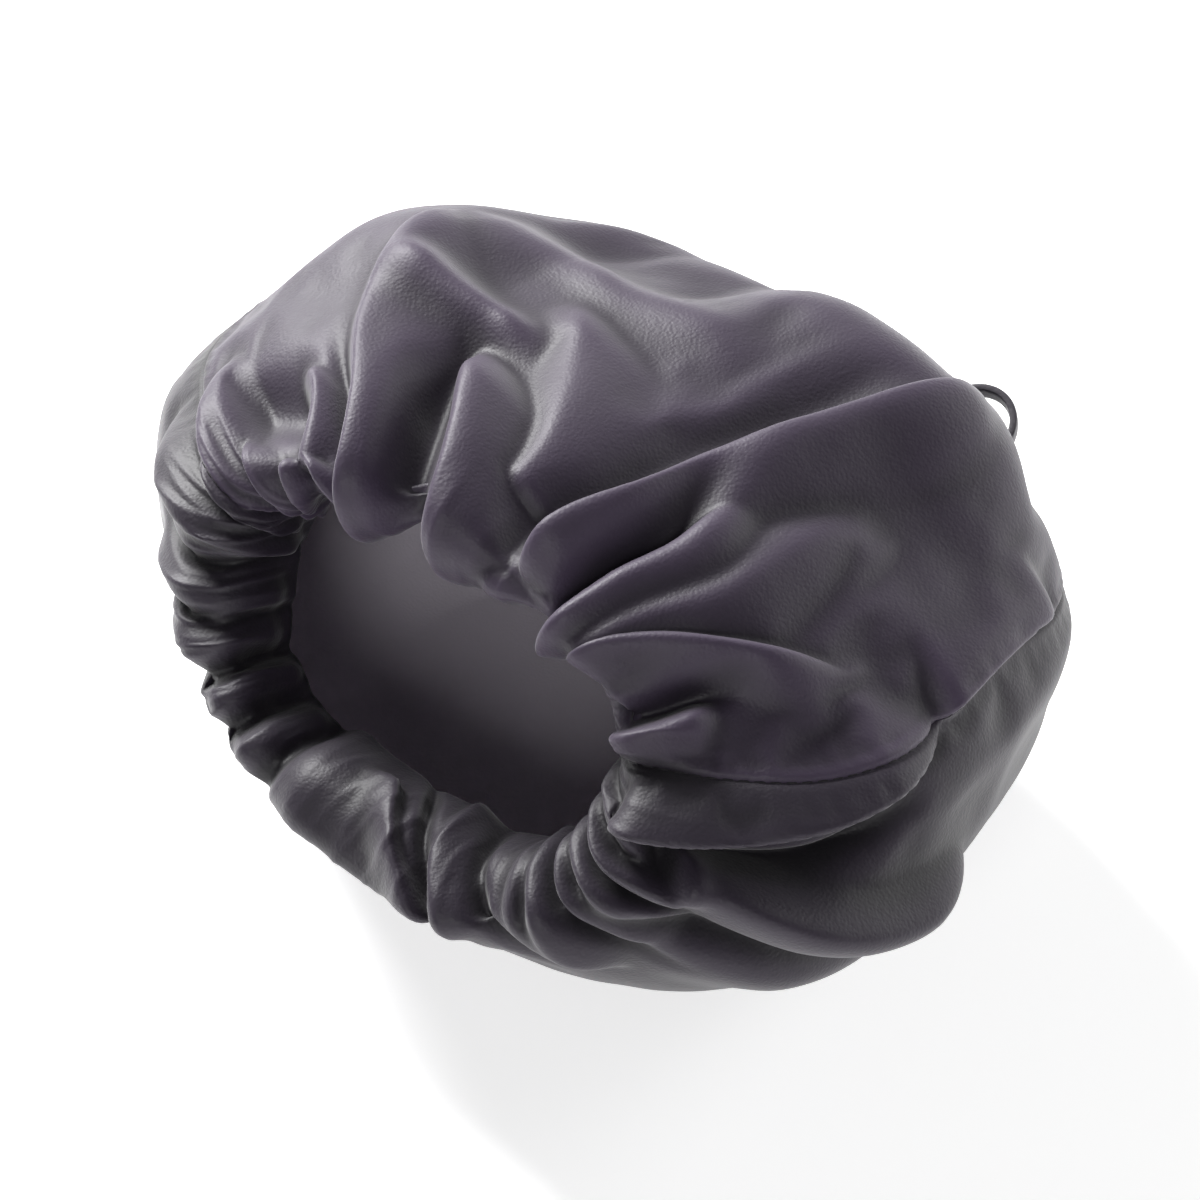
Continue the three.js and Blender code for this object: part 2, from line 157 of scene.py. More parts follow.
CREASES = [
    Fold(9.4, 5.4, 101, 103, 101.5, 5, 4, 1.0),
    Fold(8, 2.8, 80, 76, 67, 4, 5, 0.4),
    Fold(10.4, 4.8, 60, 63.5, 68.5, 1.8, 4.2, 0.8),
    Fold(8.9, 6.4, 38, 38, 41.5, 3, 3.4, 0.5),
    Fold(7.8, 5.3, 362, 361.5, 371, 5, 5, 1.1),
    Fold(7.6, 4.4, 341, 343, 342, 4, 5, 0.8),
    Fold(10.4, 7.4, 362, 359, 356, 3, 2.8, 0.75),
    Fold(11, 6.8, 350, 350, 347, 1.8, 2, 0.5),
    Fold(10.8, 7.6, 339, 342, 340, 3.4, 3, 0.8),
    Fold(11, 6.8, 331, 333.5, 333, 1.8, 2, 0.5),
    Fold(10.6, 7.8, 322, 325, 323, 3, 2.8, 0.65),
    Fold(10.8, 7.2, 300, 309, 315, 2.6, 3, 0.7),
    Fold(11, 8, 275, 291, 300, 2.4, 2.6, 0.8),
    Fold(11.2, 7.6, 247, 248.5, 250, 3, 3.2, 0.6),
    Fold(11, 7.4, 232.5, 233.5, 234, 2.8, 3, 0.6),
    Fold(11.2, 6.8, 218, 218.5, 221, 3.2, 3.4, 0.9),
    Fold(11.2, 6.8, 206, 203, 195, 2.2, 2.8, 0.45),
    Fold(11.2, 6.8, 185, 187, 183, 2.2, 2.8, 0.45),
    Fold(9.6, 8.2, 134, 129, 129, 2.4, 2.4, 0.5),
    Fold(9.4, 6, 118, 118.5, 121, 2.4, 3.2, 0.5),
]

# Fine pleats round the rim: how many, how many times they wander, start and slant.
PLEAT_WAVES = [(34, 3, 0.4, 0.5), (47, 5, 1.9, -0.8), (61, 4, 3.1, 1.1)]

# Shallow dents of slack leather: length in millimetres, share of the depth and start.
DENT_WAVES = [(15.0, 1.0, 0.7), (8.5, 0.55, 2.2), (4.6, 0.28, 4.0)]

# Folds and hollows that run round the bag.
CROSS_FOLDS = [
    CrossFold(3.75, 74, 126, 0.4, 0.3),
    CrossFold(2.9, 86, 126, 1.0, -0.8),
    CrossFold(2.7, 34, 100, 0.9, 0.8),
    CrossFold(4.3, 106, 146, 1.0, 0.7),
    CrossFold(3.3, 22, 66, 1.1, 0.3),
    CrossFold(3.2, 322, 372, 1.6, -0.5),
    CrossFold(5.6, 322, 366, 1.2, 0.4),
    CrossFold(5.1, 94, 119, 0.35, 0.6),
    CrossFold(7.2, 350, 364, 0.2, 0.35),
    CrossFold(7, 124, 147, 0.6, -0.75),
    CrossFold(5, 140, 176, 1.2, -0.3),
    CrossFold(7.2, 168, 314, 1.5, -0.7),
    CrossFold(10.2, 250, 300, 1.6, 0.4),
    CrossFold(10.4, 200, 256, 1.5, -0.5),
]

SEAM_ANGLES = [0, 8, 15, 20, 25, 24, 23, 23, 24, 22, 20, 20]


def ease(value: Array) -> Array:
    """Return a smooth step of value between 0 and 1."""
    t = np.clip(value, 0.0, 1.0)
    return t * t * (3 - 2 * t)


def curve_through(values: list[float], place: Array) -> Array:
    """Read a smooth curve through evenly spaced values.

    Args:
        values: The values at places 0, 1, 2 and so on.
        place: Where the curve is read.

    Returns:
        The curve's values, in the shape of place.
    """
    row = np.asarray(values, dtype=float)
    row = np.concatenate([[2 * row[0] - row[1]], row, [2 * row[-1] - row[-2]]])
    i = np.clip(np.floor(place).astype(int), 0, len(values) - 2)
    f = place - i
    a, b, c, d = row[i], row[i + 1], row[i + 2], row[i + 3]
    bend = 2 * a - 5 * b + 4 * c - d
    twist = -a + 3 * b - 3 * c + d
    return 0.5 * (2 * b + (c - a) * f + bend * f**2 + twist * f**3)


def power(value: Array, exponent: Array) -> Array:
    """Return value to a power, keeping its sign."""
    return np.sign(value) * np.abs(value) ** exponent


def turn_between(start: Array, stop: Array) -> Array:
    """Return the shortest turn from one angle to another, in degrees."""
    return (stop - start + 540.0) % 360.0 - 180.0


@dataclass
class GatheredForm:
    """The bag's outer face as a function of the angle round it and the ring along it."""

    width: float = 256.0
    depth: float = 180.0
    height: float = 136.0
    leather: float = 2.0
    fold_rise: float = 10.0
    crest_bend: float = 0.2
    crest_turn: float = 2.4
    foot_hollow: float = 1.4
    blunt_most: float = 1.1
    fade_before: float = 0.12
    fade_after: float = 1.12
    fade_over: float = 0.3
    fade_sink: float = 1.5
    deepest: float = 3.0
    rim_calm: float = 0.3
    rim_calm_from: float = 8.6
    rim_calm_over: float = 1.6
    crease_calm: float = 0.6
    crease_calm_from: float = 8.0
    crease_calm_over: float = 1.4
    crease_round: float = 0.45
    pleat_rise: float = 1.1
    dent_depth: float = 0.32
    rest_ease: float = 7.0
    side_fall: float = 1.4
    seam_sink: float = 0.9
    seam_roll: float = 0.45
    groove_half: float = 0.55
    edge_place: float = 1.9
    edge_half: float = 1.5
    cross_full: float = 1.6
    middle: tuple[float, float] = (1.504, -6.211)

    def on_floor(self, z: Array) -> Array:
        """Return heights with the underside eased onto the floor."""
        eased = (z + self.rest_ease) ** 2 / (4 * self.rest_ease)
        return np.where(z > self.rest_ease, z, np.where(z < -self.rest_ease, 0.0, eased))

    def round_point(self, angle: Array, ring: Array) -> Array:
        """Place points on the rounded form before any fold.

        Args:
            angle: Degrees round the bag.
            ring: Ring numbers along it.

        Returns:
            Points in millimetres, with a last axis of three.
        """

        def column(name: str) -> Array:
            """Return one column of the ring table at each ring."""
            return curve_through([getattr(row, name) for row in RINGS], ring)

        exponent = 2.0 / column("square")
        tilt = np.radians(column("tilt"))
        side = np.sin(np.radians(angle))
        up = np.maximum(0.0, column("up"))
        down = np.maximum(0.0, column("down"))
        across = power(np.cos(np.radians(angle)), exponent) * column("half") * self.width
        raised = power(side, exponent) * np.where(side > 0, up, down) * self.height
        x = column("aside") * self.width + across
        y = column("along") * self.depth + raised * np.sin(tilt)
        z = column("lift") * self.height + raised * np.cos(tilt)
        return np.stack([x, y, z], axis=-1)

    def smooth_point(self, angle: Array, ring: Array) -> Array:
        """Return points of the rounded form with its underside flattened."""
        point = self.round_point(angle, ring)
        point[..., 2] = self.on_floor(point[..., 2])
        return point

    def outward(self, angle: Array, ring: Array) -> Array:
        """Return the outward direction of the rounded form at each place."""
        place = np.clip(ring, 0.12, len(RINGS) - 1.12)
        round_way = self.smooth_point(angle + 2, place) - self.smooth_point(angle - 2, place)
        along_way = self.smooth_point(angle, place + 0.12) - self.smooth_point(angle, place - 0.12)
        normal = np.cross(round_way, along_way)
        normal /= np.linalg.norm(normal, axis=-1, keepdims=True)
        back = ease(ring / 0.3)[..., None]
        normal = normal * back + np.array([0.0, 1.0, 0.0]) * (1 - back)
        return normal / np.linalg.norm(normal, axis=-1, keepdims=True)

    def on_fold(self, fold: Fold, angle: Array, ring: Array) -> tuple[Array, Array]:
        """Find where places lie on a fold.

        Args:
            fold: The fold.
            angle: Degrees round the bag.
            ring: Ring numbers along it.

        Returns:
            The distance from the crest in half widths, and how much of the fold is left.
        """
        share = (ring - fold.far) / (fold.near - fold.far)
        t = np.clip(share, 0.0, 1.0)
        ends = fold.far_angle * (1 - t) * (1 - 2 * t) + fold.near_angle * t * (2 * t - 1)
        crest = ends + fold.mid_angle * 4 * t * (1 - t)
        half = fold.far_half + (fold.near_half - fold.far_half) * t
        far_end = ease((share + self.fade_before) / fold.taper)
        fade = far_end * ease((self.fade_after - share) / self.fade_over)
        turn = turn_between(crest, angle)
        return turn / (half * (1 + fold.skew * np.sign(turn))), fade

    def crest_profile(self, off: Array, half: float) -> Array:
        """Return a fold's height share across its crest.

        Args:
            off: Distances from the crest in half widths.
            half: The fold's half width in degrees; narrow folds have rounder crests.

        Returns:
            Shares of the fold's rise, 1 on the crest.
        """
        bend = min(self.blunt_most, max(self.crest_bend, self.crest_turn / half))
        share = 1 - (np.sqrt(off**2 + bend**2) - bend) / (math.sqrt(1 + bend**2) - bend)
        hollow = 1 + (self.foot_hollow - 1) * min(1.0, max(0.0, half / 6 - 0.85))
        return power(share, np.full_like(share, hollow))

    def fold_shift(self, angle: Array, ring: Array) -> tuple[Array, Array]:
        """Lay the folds side by side so that they meet in creases.

        Args:
            angle: Degrees round the bag.
            ring: Ring numbers along it.

        Returns:
            The height of the folded leather and how far it hangs over, in millimetres.
        """
        crests = np.ones_like(angle + ring)
        sideways = np.zeros_like(crests)
        calm = 1 - self.rim_calm * ease((ring - self.rim_calm_from) / self.rim_calm_over)
        for fold in FOLDS:
            off, fade = self.on_fold(fold, angle, ring)
            share = self.crest_profile(off, fold.far_half)
            rise = fold.rise * self.fold_rise * fade * calm
            height = rise * share - self.fade_sink * self.fold_rise * (1 - fade)
            weight = np.exp(np.maximum(height, -self.deepest * self.fold_rise) / self.crease_round)
            crests += weight
            sideways += weight * fold.lean * np.clip(share, 0.0, 1.0) * fade
        height = np.log(crests) * self.crease_round
        sideways /= crests
        calmed = ease((ring - self.crease_calm_from) / self.crease_calm_over)
        calm = 1 - self.crease_calm * calmed
        for crease in CREASES:
            off, fade = self.on_fold(crease, angle, ring)
            height -= crease.rise * self.fold_rise * fade * calm * np.exp(-self.side_fall * off**2)
        for cross in CROSS_FOLDS:
            middle, reach = (cross.start + cross.stop) / 2, (cross.stop - cross.start) / 2
            turn = np.abs(turn_between(np.full_like(angle, middle), angle))
            run = ease(self.cross_full * (1 - turn / reach))
            off = (ring - cross.ring) / cross.reach
            height += cross.rise * self.fold_rise * run * np.exp(-self.side_fall * off**2)
        return height, sideways

    def fine_pleats(self, angle: Array, ring: Array) -> Array:
        """Return the small sharp pleats that the gathering draws in round the rim.

        Args:
            angle: Degrees round the bag.
            ring: Ring numbers along it.

        Returns:
            Heights in millimetres.
        """
        turn = np.radians(angle)
        deep = ease((ring - 6.4) / 2.2) * ease((11.2 - ring) / 1.4)
        left = ease((angle - 110) / 40) * ease((252 - angle) / 30)
        total = np.zeros_like(turn + ring)
        for count, wander, start, drift in PLEAT_WAVES:
            slow = np.sin(wander * turn + start) + 0.6 * np.sin((wander + 2) * turn - drift * ring)
            wave = count * turn + 1.7 * slow + drift * (ring - 9)
            crest = np.exp(-((np.sin(wave / 2) / 0.32) ** 2))
            total += crest * (0.5 + 0.5 * np.sin((wander + 1) * turn + 2 * start))
        return self.pleat_rise * total * deep * (0.3 + 0.7 * left)

    def soft_dents(self, point: Array) -> Array:
        """Return the shallow unevenness of slack leather.

        Args:
            point: Points of the rounded form in millimetres.

        Returns:
            Heights in millimetres.
        """
        x, y, z = (point[..., k] for k in range(3))
        total = np.zeros_like(x)
        for length, share, start in DENT_WAVES:
            bend = 1.4 * np.sin((x - 0.7 * z) / (1.7 * length) + start)
            bend += 1.1 * np.cos((y + 0.6 * x) / (1.3 * length) - start)
            total += share * np.sin((0.8 * x + 0.5 * y + 0.4 * z) / length + bend + start)
            total += share * np.sin((0.5 * z - 0.8 * y + 0.3 * x) / length - bend + 2.1 * start)
        return self.dent_depth * total

    def inner_point(self, angle: Array, ring: Array) -> Array:
        """Return points of the leather's inner face, laid by the lowest crease close by.

        In the deepest creases near the rim it can still come through the outer face.

        Args:
            angle: Degrees round the bag.
            ring: Ring numbers along it.

        Returns:
            Points in millimetres in the bag's own frame.
        """
        turns, steps = (-2.0, -1.2, -0.5, 0.0, 0.5, 1.2, 2.0), (-0.2, -0.1, 0.0, 0.1, 0.2)
        near = [self.fold_shift(angle + a, ring + r) for a in turns for r in steps]
        height = np.min([each[0] for each in near], axis=0) - self.leather
        point = self.round_point(angle, ring) + self.outward(angle, ring) * height[..., None]
        round_way = self.smooth_point(angle + 1, ring) - self.smooth_point(angle - 1, ring)
        round_way /= np.maximum(np.linalg.norm(round_way, axis=-1, keepdims=True), 1e-6)
        point += round_way * np.mean([each[1] for each in near], axis=0)[..., None]
        point[..., 2] = np.maximum(self.on_floor(point[..., 2]), self.leather)
        return point - np.array([*self.middle, 0.0])

    def seam_relief(self, angle: Array, ring: Array, per_degree: Array) -> Array:
        """Return the small relief of the sewn edge along both side seams.

        Args:
            angle: Degrees round the bag.
            ring: Ring numbers along it.
            per_degree: Millimetres of leather in a degree at each place.

        Returns:
            Heights in millimetres.
        """
        seam = seam_angle(ring)
        right = turn_between(seam, angle) * per_degree
        left = -turn_between(180.0 - seam, angle) * per_degree
        relief = np.zeros_like(right)
        for off in (right, left):
            groove = -self.seam_sink * np.exp(-((off / self.groove_half) ** 2))
            from_edge = (off - self.edge_place) / self.edge_half
            turned_edge = self.seam_roll * np.exp(-(from_edge**2))
            relief += groove + turned_edge
        return relief

    def outer_point(self, angle: Array, ring: Array) -> Array:
        """Return points of the leather's outer face, in millimetres in the bag's own frame."""
        normal = self.outward(angle, ring)
        round_way = self.smooth_point(angle + 1, ring) - self.smooth_point(angle - 1, ring)
        per_degree = np.linalg.norm(round_way, axis=-1) / 2
        round_way /= np.maximum(np.linalg.norm(round_way, axis=-1, keepdims=True), 1e-6)
        height, sideways = self.fold_shift(angle, ring)
        height = height + self.seam_relief(angle, ring, per_degree)
        point = self.round_point(angle, ring)
        height += self.fine_pleats(angle, ring) + self.soft_dents(point)
        point += normal * height[..., None]
        point += round_way * sideways[..., None]
        point[..., 2] = self.on_floor(point[..., 2])
        point[..., 0] -= self.middle[0]
        point[..., 1] -= self.middle[1]
        return point


def seam_angle(ring: Array) -> Array:
    """Return the angle of the right-hand side seam at each ring."""
    return curve_through(SEAM_ANGLES, ring)


class NodeBench:
    """Small helper that lays out a material's node tree."""

    def __init__(self, name: str) -> None:
        """Start a material of the given name with an empty node tree."""
        self.material = bpy.data.materials.new(name)
        self.material.use_nodes = True
        self.tree = self.material.node_tree
        self.tree.nodes.clear()
        self.out = self.add("ShaderNodeOutputMaterial")
        self.shader = self.add("ShaderNodeBsdfPrincipled")
        self.join(self.shader, "BSDF", self.out, "Surface")

    def add(self, kind: str, **settings: object) -> bpy.types.Node:
        """Add a node and set its properties or, for known sockets, their values."""
        node = self.tree.nodes.new(kind)
        for key, value in settings.items():
            if hasattr(node, key):
                setattr(node, key, value)
            else:
                node.inputs[key.replace("_", " ")].default_value = value
        return node

    def join(self, a: bpy.types.Node, out: str, b: bpy.types.Node, into: str) -> None:
        """Link one node's output to another's input."""
        source = next(plug for plug in a.outputs if plug.name == out and plug.enabled)
        target = next(plug for plug in b.inputs if plug.name == into and plug.enabled)
        self.tree.links.new(source, target)

    def set(self, **values: object) -> None:
        """Set values on the shader's own sockets."""
        for key, value in values.items():
            self.shader.inputs[key.replace("_", " ")].default_value = value


@dataclass(frozen=True)
class NappaLeather:
    """Fine-grained sheepskin leather with a soft satin finish, its colour with painted shade in the
    creases and painted highlight on the crests.
    """

    name: str
    shade: tuple[float, float, float]
    worn_tint_and_painted_shade: tuple[float, float, float]
    roughness: float = 0.53
    grain_size: float = 0.8
    grain_depth: float = 0.14
    sheen: float = 0.18
    # Painted shade in creases and painted highlight on crests: factors on the colour at the crest
    # attribute's -1 and 1.
    crease_painted_shade: float = 0.4
    crest_painted_highlight: float = 1.7

    def make(self) -> bpy.types.Material:
        """Build the leather's node material."""
        bench = NodeBench(self.name)
        bench.set(Specular_IOR_Level=0.42, IOR=1.5, Sheen_Weight=self.sheen, Sheen_Roughness=0.45)
        place = bench.add("ShaderNodeTexCoord")
        cloud = bench.add("ShaderNodeTexNoise", Scale=28.0, Detail=4.0, Roughness=0.6)
        bench.join(place, "Object", cloud, "Vector")
        tint = bench.add("ShaderNodeMix", data_type="RGBA")
        tint.inputs["A"].default_value = (*self.shade, 1.0)
        tint.inputs["B"].default_value = (*self.worn_tint_and_painted_shade, 1.0)
        bench.tree.links.new(cloud.outputs["Fac"], tint.inputs["Factor"])
        # Painted shade and painted highlight: the crest attribute darkens the colour in creases and
        # lightens it on crests, standing in for light and shade on the folds.
        crest = bench.add("ShaderNodeAttribute", attribute_name="crest")
        shade = bench.add("ShaderNodeMapRange")
        shade.inputs["From Min"].default_value = -1.0
        shade.inputs["To Min"].default_value = self.crease_painted_shade
        shade.inputs["To Max"].default_value = self.crest_painted_highlight
        bench.join(crest, "Fac", shade, "Value")
        worn_tint_and_painted_shade = bench.add("ShaderNodeVectorMath", operation="SCALE")
        bench.join(tint, "Result", worn_tint_and_painted_shade, "Vector")
        bench.join(shade, "Result", worn_tint_and_painted_shade, "Scale")
        bench.join(worn_tint_and_painted_shade, "Vector", bench.shader, "Base Color")
        gloss = bench.add("ShaderNodeMapRange")
        gloss.inputs["To Min"].default_value = self.roughness - 0.05
        gloss.inputs["To Max"].default_value = self.roughness + 0.07
        bench.join(cloud, "Fac", gloss, "Value")
        bench.join(gloss, "Result", bench.shader, "Roughness")
        grains = 1.0 / (self.grain_size * MM)
        pebble = bench.add("ShaderNodeTexVoronoi", feature="SMOOTH_F1", Scale=grains)
        bench.join(place, "Object", pebble, "Vector")
        crumple = bench.add("ShaderNodeTexNoise", Scale=160.0, Detail=5.0, Roughness=0.65)
        bench.join(place, "Object", crumple, "Vector")
        fine = bench.add("ShaderNodeBump", Strength=0.6, Distance=self.grain_depth * MM)
        bench.join(pebble, "Distance", fine, "Height")
        soft = bench.add("ShaderNodeBump", Strength=0.5, Distance=0.25 * MM)
        bench.join(crumple, "Fac", soft, "Height")
        bench.join(fine, "Normal", soft, "Normal")
        bench.join(soft, "Normal", bench.shader, "Normal")
        return bench.material


@dataclass(frozen=True)
class StudioPaper:
    """Plain pale paper under the bag."""

    name: str = "studio_paper"
    shade: tuple[float, float, float] = (0.93, 0.93, 0.93)
    glow: float = 0.6

    def make(self) -> bpy.types.Material:
        """Build the paper's node material."""
        bench = NodeBench(self.name)
        bench.set(Roughness=0.9, Specular_IOR_Level=0.1, Emission_Strength=self.glow)
        bench.shader.inputs["Base Color"].default_value = (*self.shade, 1.0)
        bench.shader.inputs["Emission Color"].default_value = (1.0, 1.0, 1.0, 1.0)
        return bench.material


@dataclass(frozen=True)
class SewingThread:
    """Dark twisted sewing thread."""

    name: str = "seam_thread"
    shade: tuple[float, float, float] = (0.012, 0.01, 0.014)
    twist: float = 2400.0

    def make(self) -> bpy.types.Material:
        """Build the thread's node material."""
        bench = NodeBench(self.name)
        bench.set(Roughness=0.6)
        bench.shader.inputs["Base Color"].default_value = (*self.shade, 1.0)
        place = bench.add("ShaderNodeTexCoord")
        strands = bench.add("ShaderNodeTexWave", Scale=self.twist)
        bench.join(place, "Object", strands, "Vector")
        bump = bench.add("ShaderNodeBump", Strength=0.4, Distance=0.1 * MM)
        bench.join(strands, "Fac", bump, "Height")
        bench.join(bump, "Normal", bench.shader, "Normal")
        return bench.material


@dataclass
class ClothSettling:
    """Lets slightly over-long leather crumple between its held edges in a cloth run."""

    rows: int = 120
    columns: int = 220
    frames: int = 16
    spare: float = 0.012
    spare_at_mouth: float = 0.06
    hold: float = 0.12
    cap: float = 2.2
    upscale: float = 10.0
    bending: float = 5.0
    tension: float = 30.0
    mass: float = 0.4
    quality: int = 5
    seam_share: float = 0.03
    back_rings: float = 0.8
    turned_end: float = 10.6
    lift_off: float = 1.5
    lift_over: float = 6.0
    gather_from: float = 5.8
    gather_over: float = 3.0

    def hold_levels(self, points: Array, rings: Array) -> Array:
        """Return how firmly each place of the lattice is held, from 0 to 1.

        Args:
            points: Lattice points in millimetres.
            rings: Ring number of each row.

        Returns:
            Levels as rows by columns.
        """
        share = np.linspace(0.0, 1.0, self.columns)[None, :]
        seam = 1 - ease(np.minimum(share, 1 - share) / self.seam_share)
        ends = 1 - ease(np.minimum(rings / self.back_rings, self.turned_end - rings))[:, None]
        floor = 1 - ease((points[..., 2] - self.lift_off) / self.lift_over)
        firm = np.maximum(np.maximum(seam, ends), floor)
        return self.hold + (1 - self.hold) * firm

    def settle(self, points: Array, rings: Array) -> Array:
        """Run the cloth and return how far every lattice point moved.

        Args:
            points: Lattice points in millimetres, as rows by columns by three.
            rings: Ring number of each row.

        Returns:
            Offsets in millimetres in the same layout.
        """
        scene = bpy.context.scene
        flat = points.reshape(-1, 3) * MM * self.upscale
        index = np.arange(self.rows * self.columns).reshape(self.rows, self.columns)
        quads = np.stack([index[:-1, :-1], index[:-1, 1:], index[1:, 1:], index[1:, :-1]], axis=-1)
        mesh = bpy.data.meshes.new("settling")
        mesh.from_pydata(flat.tolist(), [], quads.reshape(-1, 4).tolist())
        sheet = bpy.data.objects.new("settling", mesh)
        bpy.context.collection.objects.link(sheet)
        gather = ease((rings - self.gather_from) / self.gather_over)
        gathered = np.repeat(gather[:, None], self.columns, axis=1)
        for name, layout in (("held", self.hold_levels(points, rings)), ("gathered", gathered)):
            group = sheet.vertex_groups.new(name=name)
            levels = np.round(layout.ravel(), 2)
            for level in np.unique(levels):
                group.add(np.flatnonzero(levels == level).tolist(), float(level), "REPLACE")
        cloth = sheet.modifiers.new("cloth", "CLOTH")
        cloth.settings.quality = self.quality
        cloth.settings.mass = self.mass
        cloth.settings.tension_stiffness = self.tension
        cloth.settings.compression_stiffness = self.tension
        cloth.settings.shear_stiffness = self.tension / 3
        cloth.settings.bending_stiffness = self.bending
        cloth.settings.shrink_min = -self.spare
        cloth.settings.shrink_max = -self.spare_at_mouth
        cloth.settings.vertex_group_shrink = "gathered"
        cloth.settings.vertex_group_mass = "held"
        cloth.settings.effector_weights.gravity = 0.0
        cloth.collision_settings.use_collision = False
        cloth.point_cache.frame_start = 1
        cloth.point_cache.frame_end = self.frames
        for frame_number in range(1, self.frames + 1):
            scene.frame_set(frame_number)
        settled = sheet.evaluated_get(bpy.context.evaluated_depsgraph_get()).data
        moved = np.empty(len(flat) * 3)
        settled.vertices.foreach_get("co", moved)
        offsets = (moved.reshape(-1, 3) - flat) / (MM * self.upscale)
        bpy.data.objects.remove(sheet)
        bpy.data.meshes.remove(mesh)
        scene.frame_set(1)
        size = np.maximum(np.linalg.norm(offsets, axis=-1, keepdims=True), 1e-9)
        offsets *= self.cap * np.tanh(size / self.cap) / size
        return offsets.reshape(points.shape)


@dataclass
class LeatherPanel:
    """One of the two panels: a folded sheet with its rolled rim and inner face."""

    side: PanelSide
    node: str
    slot: str
    form: GatheredForm
    finish: NappaLeather
    inner_finish: NappaLeather
    columns: int = 300
    outer_rows: int = 210
    inner_rows: int = 60
    crest_scale: float = 1.0
    hem_ring: float = 6.6
    even_rows: float = 0.35
    row_crowding: float = 1.6
    cloth: ClothSettling = field(default_factory=ClothSettling)

    def places(self, rings: Array, columns: int) -> tuple[Array, Array]:
        """Return the angle and ring of every lattice place of the panel.

        Args:
            rings: Ring numbers of the lattice rows.
            columns: How many places each row has.

        Returns:
            Two arrays of rows by columns.
        """
        ring = np.repeat(rings[:, None], columns, axis=1)
        seam = seam_angle(ring)
        share = np.linspace(0.0, 1.0, columns)[None, :]
        if self.side is PanelSide.UPPER:
            return seam + share * (180 - 2 * seam), ring
        return 180 - seam + share * (180 + 2 * seam), ring

    def crumple(self) -> tuple[Array, Array]:
        """Settle the panel's outer face as cloth.

        Returns:
            The ring number of each row of the cloth, and how far its points moved.
        """
        rings = np.linspace(0.0, float(len(RINGS) - 1), self.cloth.rows)
        points = self.form.outer_point(*self.places(rings, self.cloth.columns))
        return rings, self.cloth.settle(points, rings)

    def spread(self, cloth_rings: Array, offsets: Array, rings: Array) -> Array:
        """Carry the cloth's movement over to a finer lattice.

        Args:
            cloth_rings: Ring number of each row of the cloth.
            offsets: How far the cloth's points moved.
            rings: Ring numbers of the finer lattice's rows.

        Returns:
            Movements in millimetres, as rows by columns by three.
        """
        fine = np.linspace(0.0, 1.0, self.columns)
        coarse = np.linspace(0.0, 1.0, offsets.shape[1])
        wide = np.stack([[np.interp(fine, coarse, row[:, k]) for k in range(3)] for row in offsets])
        tall = np.empty((len(rings), self.columns, 3))
        for i in range(self.columns):
            for k in range(3):
                tall[:, i, k] = np.interp(rings, cloth_rings, wide[:, k, i])
        return tall

    def crests(self, rings: Array, moved: Array) -> Array:
        """Measure how far the outer face stands over or under its surroundings, for the painted
        shade and painted highlight of the leather's colour.

        Args:
            rings: Ring numbers of the lattice rows.
            moved: The cloth's movement at each place.

        Returns:
            Values from -1 in the creases to 1 on the crests.
        """
        angle, ring = self.places(rings, self.columns)
        height, _ = self.form.fold_shift(angle, ring)
        height += self.form.fine_pleats(angle, ring)
        height += (self.form.outward(angle, ring) * moved).sum(axis=-1)
        around = height
        for axis, reach in ((1, 6), (0, 4)):
            beside = [np.roll(around, k, axis=axis) for k in range(-reach, reach + 1)]
            around = sum(beside) / len(beside)
        return np.tanh((height - around) / self.crest_scale)

    def build(self) -> bpy.types.Object:
        """Build the panel's mesh: outer face, rim and inner face in one sheet."""
        last = float(len(RINGS) - 1)
        steps = np.linspace(0.0, 1.0, self.outer_rows)
        crowded = 1 - (1 - steps) ** self.row_crowding
        outer_rings = last * (self.even_rows * steps + (1 - self.even_rows) * crowded)
        inner_rings = np.linspace(last, 0.0, self.inner_rows)
        cloth_rings, offsets = self.crumple()
        moved = self.spread(cloth_rings, offsets, outer_rings)
        outer = self.form.outer_point(*self.places(outer_rings, self.columns)) + moved
        inner = self.form.inner_point(*self.places(inner_rings, self.columns))
        inner += self.spread(cloth_rings, offsets, inner_rings)
        points = np.concatenate([outer, inner]).reshape(-1, 3) * MM
        rows = self.outer_rows + self.inner_rows
        index = np.arange(rows * self.columns).reshape(rows, self.columns)
        quads = np.stack([index[:-1, :-1], index[:-1, 1:], index[1:, 1:], index[1:, :-1]], axis=-1)
        mesh = bpy.data.meshes.new(self.node + "_leather")
        mesh.from_pydata(points.tolist(), [], quads.reshape(-1, 4).tolist())
        mesh.polygons.foreach_set("use_smooth", [True] * len(mesh.polygons))
        mesh.materials.append(self.finish.make())
        mesh.materials.append(self.inner_finish.make())
        turned_in = int((inner_rings > self.hem_ring).sum())
        first_inside = (self.outer_rows + turned_in) * (self.columns - 1)
        inside = np.arange(len(mesh.polygons)) >= first_inside
        mesh.polygons.foreach_set("material_index", inside.astype(int).tolist())
        # Painted shade and painted highlight: this crest attribute darkens the outer face's colour
        # in creases and lightens it on crests; the inner face gets 0.
        painted_shade_layer = mesh.attributes.new("crest", "FLOAT", "POINT")
        worn_tint_and_painted_shade = np.concatenate([self.crests(outer_rings, moved), np.zeros(inner.shape[:2])])
        painted_shade_layer.data.foreach_set("value", worn_tint_and_painted_shade.ravel())
        mesh.update()
        piece = bpy.data.objects.new(self.node + "_leather", mesh)
        bpy.context.collection.objects.link(piece)
        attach(piece, "root")
        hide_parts(self.node)
        return piece


